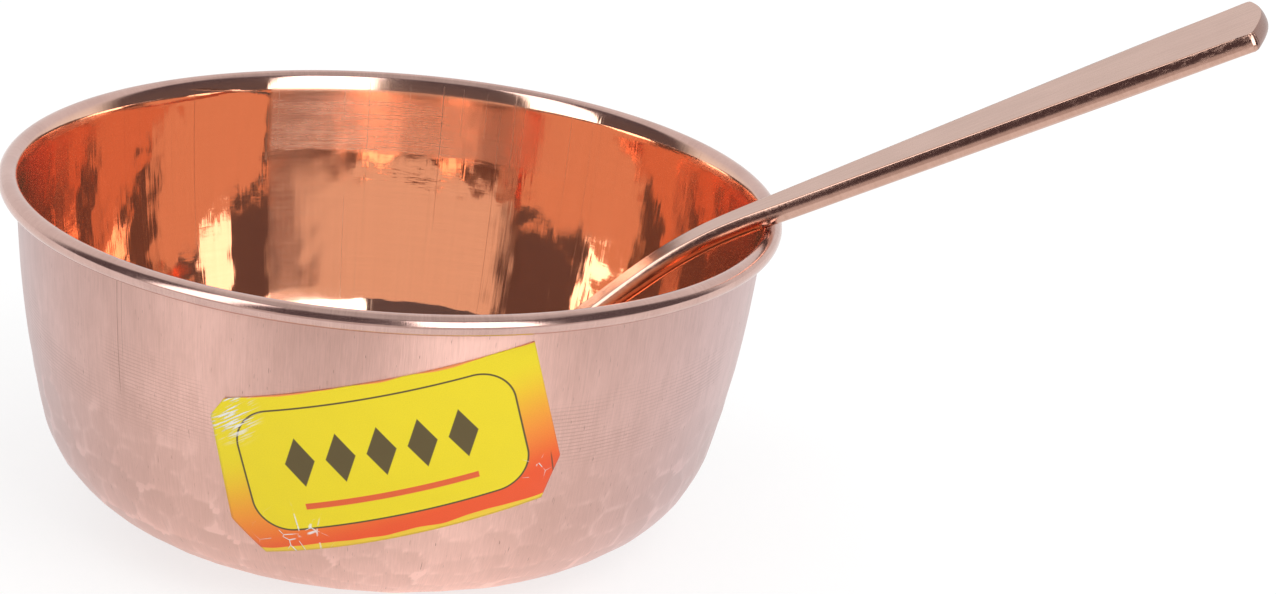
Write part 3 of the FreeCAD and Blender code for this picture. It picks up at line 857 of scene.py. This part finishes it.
def polished_copper():
    """Inside of the bowl and its rim: buffed bright, with fine turning and wiping marks."""
    nodes = Nodes(bpy.data.materials.new("polished_copper"))
    place = nodes.place()
    height = nodes.split(place)[2]
    reach = nodes.vectors("LENGTH", nodes.vectors("MULTIPLY", place, (1, 1, 0)))
    on_rim = nodes.ease(reach, 0.0662, 0.0670)
    fluted = nodes.grain(place, 62, 60)
    torn = nodes.grain(place, 15, 1300)
    worn = nodes.times(nodes.ease(height, 0.036, 0.039), nodes.fall(height, 0.041, 0.045),
                       nodes.ease(nodes.grain(place, 3, 30), 0.48, 0.60))
    turned = nodes.grain(place, 2.2, 2600, roughness=0.7)
    wiped = nodes.grain(place, 260, 20, roughness=0.6)
    brushed = nodes.grain(place, 5, 2300, detail=3.0, roughness=0.7)
    scratch = nodes.ease(nodes.grain(place, 330, 8, detail=1.0), 0.71, 0.75)

    def past(bearing, low, high):
        aside = (-sin(rad(bearing)), cos(rad(bearing)), 0)
        return nodes.ease(nodes.dot(nodes.outward(place), aside), low, high)

    # a patch at the back was brushed and not buffed again, sharp at one end and fading at the
    # other; it is rougher, and painted paler as a sheen of the light it scatters
    edge = nodes.total(height, (0.003, torn))
    strip = nodes.times(nodes.ease(edge, 0.0470, 0.0485),
                        nodes.ease(height, 0.0560, 0.0600, 1.0, 0.5), past(50, 0.0, 0.6))
    brushed_patch_and_painted_sheen = nodes.maths("MAXIMUM", strip, nodes.times(past(92, 0.0, 0.3), 0.5))
    brushed_patch_and_painted_sheen = nodes.times(brushed_patch_and_painted_sheen, nodes.maths("SUBTRACT", 1.0, past(112.5, 0.0, 0.02)),
                       nodes.maths("GREATER_THAN", nodes.split(place)[1], 0.0),
                       nodes.ease(brushed, 0.25, 0.75, 0.75, 1.05))
    tone = nodes.total((0.5, wiped), (0.5, turned))
    inner = nodes.blend(nodes.ease(tone, 0.3, 0.7), (0.915, 0.557, 0.393), (0.965, 0.602, 0.438))
    # painted sheen: the brushed patch is painted paler
    inner = nodes.blend(nodes.times(brushed_patch_and_painted_sheen, 0.45), inner, (0.86, 0.60, 0.50))
    inner = nodes.blend(nodes.times(scratch, 0.5), inner, (0.45, 0.22, 0.14))
    # the rim is handled more: paler, with fine marks across it and a duller shine
    scored = nodes.grain(place, 420, 40, detail=3.0, roughness=0.7)
    handled = nodes.grain(place, 9, 300, detail=3.0, roughness=0.6)
    rim = nodes.blend(nodes.ease(nodes.total((0.5, scored), (0.5, handled)), 0.3, 0.7),
                      (0.59, 0.38, 0.33), (0.72, 0.48, 0.42))
    inside_only = nodes.maths("SUBTRACT", 1.0, on_rim)
    buffed = nodes.times(inside_only, nodes.total((0.05, tone), (0.24, brushed_patch_and_painted_sheen), (0.2, scratch)))
    dulled = nodes.times(on_rim, nodes.total(0.03, (0.08, scored), (0.12, handled)))
    tearing = nodes.times(torn, nodes.total(0.20, (-0.15, brushed_patch_and_painted_sheen), (0.75, worn)))
    relief = nodes.times(nodes.total((0.65, fluted), tearing), inside_only)
    relief = nodes.total(relief, (0.12, tone), (0.35, nodes.times(scored, on_rim)))
    return nodes.surface({
        "Base Color": nodes.blend(on_rim, inner, rim),
        # a little of the light is scattered by fine wear
        "Metallic": 0.955,
        "Roughness": nodes.total(0.02, buffed, dulled),
        "Normal": nodes.bump(relief, 0.000018),
    })


def spoon_copper_material():
    """Spoon: rubbed lengthwise on top, filed across its sides, and duller on its end, with painted
    shade there.
    """
    nodes = Nodes(bpy.data.materials.new("spoon_copper"))
    place = nodes.place()
    normal = nodes.add("NewGeometry").outputs["Normal"]
    turn = Matrix.Rotation(SPOON_TURN, 3, "Z")
    along = turn @ leaning(HANDLE_SLOPE)[0]
    across = turn @ Vector((0, 1, 0))
    parts = [nodes.dot(place, way) for way in (along, across, along.cross(across))]

    def marks_of(*cells, **settings):
        """Noise in cells per metre along the handle, across it and down through it."""
        scaled = (nodes.times(part, count) for part, count in zip(parts, cells))
        return nodes.noise(nodes.join(*scaled), **settings)

    rubbed = marks_of(60, 1900, 1900, roughness=0.6)
    filed = marks_of(1500, 90, 260, roughness=0.6)
    on_side = nodes.ease(nodes.size(nodes.dot(normal, across)), 0.35, 0.8)
    marks = nodes.add("Mix", {0: on_side, 2: rubbed, 3: filed}).outputs[0]
    patina = nodes.noise(place, scale=120.0, detail=3.0)
    tone = nodes.total((0.6, marks), (0.4, patina))
    # the forged sides are uneven, with dull flecks, most of all towards the tip
    forged = marks_of(520, 1500, 1500, detail=4.0, roughness=0.65)
    on_side = nodes.times(on_side, nodes.ease(parts[0], 0.135, 0.165, 0.25, 1.0))
    dull = nodes.times(nodes.ease(forged, 0.50, 0.62), on_side)
    # painted shade on the end face, which is also rougher
    end_dull_and_painted_shade = nodes.ease(nodes.dot(normal, along), 0.30, 0.65)
    metal = nodes.blend(nodes.ease(tone, 0.3, 0.7), (0.585, 0.355, 0.275), (0.67, 0.415, 0.33))
    relief = nodes.total(marks, (1.3, nodes.times(forged, on_side)))
    return nodes.surface({
        # painted shade on the end face
        "Base Color": nodes.blend(end_dull_and_painted_shade, metal, (0.36, 0.20, 0.16)),
        "Metallic": 1.0,
        "Roughness": nodes.total(
            0.09, (0.10, marks), (0.04, patina), (0.15, dull), (0.12, end_dull_and_painted_shade)),
        "Normal": nodes.bump(relief, 0.000012),
    })


def drawn_wire():
    """Wire inside the rolled rim, with marks along its length."""
    nodes = Nodes(bpy.data.materials.new("rim_wire"))
    drawn = nodes.grain(nodes.place(), 12, 9000)
    return nodes.surface({
        "Base Color": nodes.blend(drawn, (0.52, 0.52, 0.53), (0.70, 0.70, 0.70)),
        "Metallic": 1.0,
        "Roughness": nodes.total(0.28, (0.2, drawn)),
    })


def printed_paper():
    """Label: yellow to orange-red, a framed panel with a row of lozenges, and worn corners."""
    nodes = Nodes(bpy.data.materials.new("label_paper"))
    spot = nodes.split(nodes.add("UVMap", uv_map="flat").outputs[0])
    # place on the label in millimetres from its middle
    across = nodes.times(nodes.maths("SUBTRACT", spot[0], 0.5), LABEL_WIDTH / MM)
    up = nodes.times(nodes.maths("SUBTRACT", spot[1], 0.5), LABEL_HEIGHT / MM)
    flat = nodes.join(across, up, 0.0)
    yellow, orange, red = (0.87, 0.70, 0.02), (0.92, 0.30, 0.04), (0.87, 0.105, 0.03)
    slant = nodes.total(up, (-0.15, across))
    field = nodes.blend(nodes.ease(slant, -13.0, -3.0), red, orange)
    field = nodes.blend(nodes.ease(slant, -6.0, 8.5), field, yellow)
    # framed panel, from the distance to a rectangle with rounded corners
    from_middle = nodes.vectors("ABSOLUTE", nodes.join(across, nodes.total(up, -0.8), 0.0))
    past = nodes.vectors("SUBTRACT", from_middle, (17.0, 5.2, 0.0))
    edge = nodes.vectors("LENGTH", nodes.vectors("MAXIMUM", past, (0, 0, 0)))
    inside = nodes.fall(edge, 6.0, 6.15)
    frame_line = nodes.fall(nodes.size(nodes.total(edge, -6.1)), 0.1, 0.22)
    # row of lozenges over a thin bar
    step = nodes.maths("PINGPONG", across, 3.4)
    size = nodes.total((1 / 2.5, step), (1 / 4.6, nodes.size(nodes.total(up, -2.2))))
    lozenge = nodes.times(nodes.fall(size, 0.96, 1.04), nodes.fall(nodes.size(across), 17.0, 17.1))
    bar = nodes.times(nodes.fall(nodes.size(nodes.total(up, 6.2)), 0.5, 0.65),
                      nodes.fall(nodes.size(across), 14.4, 14.6))
    ink = nodes.blend(inside, field, yellow)
    ink = nodes.blend(bar, ink, (0.78, 0.13, 0.04))
    ink = nodes.blend(nodes.maths("MAXIMUM", lozenge, frame_line), ink, (0.12, 0.085, 0.03))
    # the sheet was cut a little off the print: a yellow strip below and slivers of orange above
    sway = nodes.noise(nodes.join(nodes.times(across, 0.11), 3.0, 0.0), detail=1.0)
    strip = nodes.fall(nodes.total(up, (-1.6, sway)), -14.65, -14.5)
    ink = nodes.blend(strip, ink, (0.88, 0.60, 0.05))
    sliver = nodes.ease(nodes.total(up, (1.7, sway)), 15.45, 15.6)
    ink = nodes.blend(sliver, ink, (0.86, 0.28, 0.09))

    def near(x, y, radius):
        offset = nodes.vectors("SUBTRACT", flat, (x, y, 0))
        return nodes.fall(nodes.vectors("LENGTH", offset), radius * 0.35, radius)

    # worn corners: rubbed lines at the upper left, cracks at the lower left and lower right
    diagonal = nodes.join(nodes.total((0.24, across), (0.10, up)),
                          nodes.total((-1.1, across), (2.9, up)), 0.0)
    rubbed = nodes.ease(nodes.noise(diagonal), 0.50, 0.60)
    veins = nodes.add("TexVoronoi", {"Vector": flat, "Scale": 0.24}, feature="DISTANCE_TO_EDGE")
    cracks = nodes.times(nodes.fall(veins.outputs["Distance"], 0.006, 0.020),
                         nodes.ease(nodes.noise(flat, scale=0.45), 0.46, 0.54))
    worn = nodes.times(near(-23.6, 12.0, 6.5), rubbed)
    for corner in ((-18.0, -12.0, 7.5), (23.5, -8.5, 3.2)):
        worn = nodes.maths("MAXIMUM", worn, nodes.times(near(*corner), cracks))
    ink = nodes.blend(worn, ink, (0.88, 0.86, 0.82))
    # a fold at the right edge, painted as a dark line of shade in its crease
    fold_painted_shade = nodes.fall(nodes.size(nodes.total(across, (-0.085, up), -27.2)), 0.06, 0.16)
    ink = nodes.blend(nodes.times(fold_painted_shade, near(26.5, -8.6, 2.8)), ink, (0.20, 0.07, 0.03))
    fibre = nodes.noise(flat, scale=5.0, detail=3.0, roughness=0.7)
    paper_tone = nodes.blend(nodes.ease(fibre, 0.3, 0.7), (0.93, 0.93, 0.93), WHITE)
    cockle = nodes.noise(flat, scale=0.16, detail=1.0)
    cockle = nodes.total((1.0, cockle), (0.04, fibre), (0.15, worn))
    return nodes.surface({
        "Base Color": nodes.blend(1.0, ink, paper_tone, blend_type="MULTIPLY"),
        "Roughness": nodes.total(0.34, (0.14, fibre), (0.25, worn)),
        "Specular IOR Level": 0.3,
        "Normal": nodes.bump(cockle, 0.0004),
    })


def dress(piece, *materials):
    """Put materials in a piece's slots, in order."""
    while len(piece.data.materials) > len(materials):
        piece.data.materials.pop()
    for slot, material in enumerate(materials):
        if slot < len(piece.data.materials):
            piece.data.materials[slot] = material
        else:
            piece.data.materials.append(material)


dress(bowl, satin_copper(), polished_copper())
dress(spoon, spoon_copper_material())
dress(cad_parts["rim_wire"], drawn_wire())
dress(label, printed_paper())

# Stage, light and camera

FLOOR_DROP, FLOOR_HALF = 0.05 * MM, 3
DARK = (0.100, 0.072, 0.080)
MIRRORINGS = 12


def floor_material():
    """Pale paper, white to the camera and in the metal, that keeps the shadow; clear from below."""
    nodes = Nodes(bpy.data.materials.new("floor"))
    nodes.tree.nodes.remove(nodes.shader)
    seen, mirrored = nodes.rays()

    def pale(grey, glow):
        lit = nodes.add("BsdfDiffuse", {"Color": (grey, grey, grey)}).outputs[0]
        return nodes.add("AddShader", {0: lit, 1: nodes.glow("Emission", WHITE, glow)}).outputs[0]

    # in the metal the pale table falls off to grey a little way in front
    table = nodes.ease(nodes.split(nodes.place())[1], -0.26, -0.17)
    laid = nodes.mix(table, nodes.glow("Emission", (0.68, 0.63, 0.62)), pale(0.20, 0.79))
    front = nodes.mix(seen, nodes.mix(mirrored, pale(0.80, 0.0), laid), pale(0.34, 0.68))
    below = nodes.add("NewGeometry").outputs["Backfacing"]
    both = nodes.mix(below, front, nodes.add("BsdfTransparent").outputs[0])
    nodes.put(nodes.output.inputs["Surface"], both)
    return nodes.holder


def studio():
    """White room as the metal sees it: pale behind, two softboxes in front, dark gaps by them."""
    world = bpy.data.worlds.new("studio")
    bpy.context.scene.world = world
    nodes = Nodes(world)
    nodes.tree.nodes.clear()
    x, y, z = nodes.split(nodes.add("TexCoord").outputs["Generated"])
    # bearing in degrees from the front, positive towards +X
    bearing = nodes.times(nodes.maths("ARCTAN2", x, nodes.times(y, -1)), 180 / pi)
    shown = nodes.blend(nodes.ease(nodes.size(bearing), 98, 114), DARK, (0.88, 0.88, 0.88))
    for middle, half, top, strength in ((-54.5, 12.5, 0.80, 3.0), (26, 17, 0.76, 4.0)):
        beside = nodes.size(nodes.total(bearing, -middle))
        mask = nodes.times(nodes.fall(beside, half - 1.0, half + 1.0),
                           nodes.fall(z, top, top + 0.05))
        shown = nodes.blend(mask, shown, (strength, strength, strength))
    shown = nodes.blend(nodes.ease(z, 0.76, 0.94), shown, (0.60, 0.60, 0.60))
    seen, mirrored = nodes.rays()
    soft, room = nodes.glow("Background", WHITE, 0.95), nodes.glow("Background", shown)
    output = nodes.add("OutputWorld")
    lit = nodes.mix(mirrored, soft, room)
    nodes.put(output.inputs["Surface"], nodes.mix(seen, lit, nodes.glow("Background", WHITE)))


def softbox(name, place, size, power):
    """A soft lamp that faces the object; in the metal it shows as the studio's own panels."""
    light = bpy.data.lights.new(name, "AREA")
    light.shape = "RECTANGLE"
    light.size, light.size_y = size
    light.energy = power
    lamp = bpy.data.objects.new(name, light)
    lamp.location = place
    lamp.rotation_euler = (-Vector(place)).to_track_quat("-Z", "Y").to_euler()
    lamp.visible_glossy = False
    bpy.context.scene.collection.objects.link(lamp)


floor = mesh_piece("floor", [
    (x * FLOOR_HALF, y * FLOOR_HALF, -FLOOR_DROP) for x, y in ((-1, -1), (1, -1), (1, 1), (-1, 1))
], [(0, 1, 2, 3)])
floor.data.shade_flat()
dress(floor, floor_material())
studio()
softbox("softbox_right", (0.7, -0.9, 1.1), (1.0, 1.0), 6.0)
bpy.context.scene.cycles.glossy_bounces = MIRRORINGS

FRAME_WIDTH = 1276
FOCAL_PIXELS = 2976.17
SENSOR_WIDTH = 36
CAMERA_REACH, CAMERA_RISE = 8 * RIM_RADIUS, rad(24.178)
YAW, PITCH, ROLL = rad(5.1029), rad(19.9692), rad(5.7614)

eye = Vector((0, -CAMERA_REACH * cos(CAMERA_RISE), CAMERA_REACH * sin(CAMERA_RISE)))
ahead = Vector((sin(YAW) * cos(PITCH), cos(YAW) * cos(PITCH), -sin(PITCH)))
level_right = Vector((cos(YAW), -sin(YAW), 0))
level_up = level_right.cross(ahead)
right = level_right * cos(ROLL) + level_up * sin(ROLL)
up = level_up * cos(ROLL) - level_right * sin(ROLL)
lens = bpy.data.cameras.new("camera")
lens.sensor_width = SENSOR_WIDTH
lens.lens = FOCAL_PIXELS / FRAME_WIDTH * SENSOR_WIDTH
lens.clip_start, lens.clip_end = 0.01, 20
camera = bpy.data.objects.new("camera", lens)
bpy.context.scene.collection.objects.link(camera)
turned = Matrix((right, up, -ahead)).transposed().to_4x4()
camera.matrix_world = Matrix.Translation(eye) @ turned
bpy.context.scene.camera = camera
bpy.context.scene.view_settings.view_transform = "Standard"
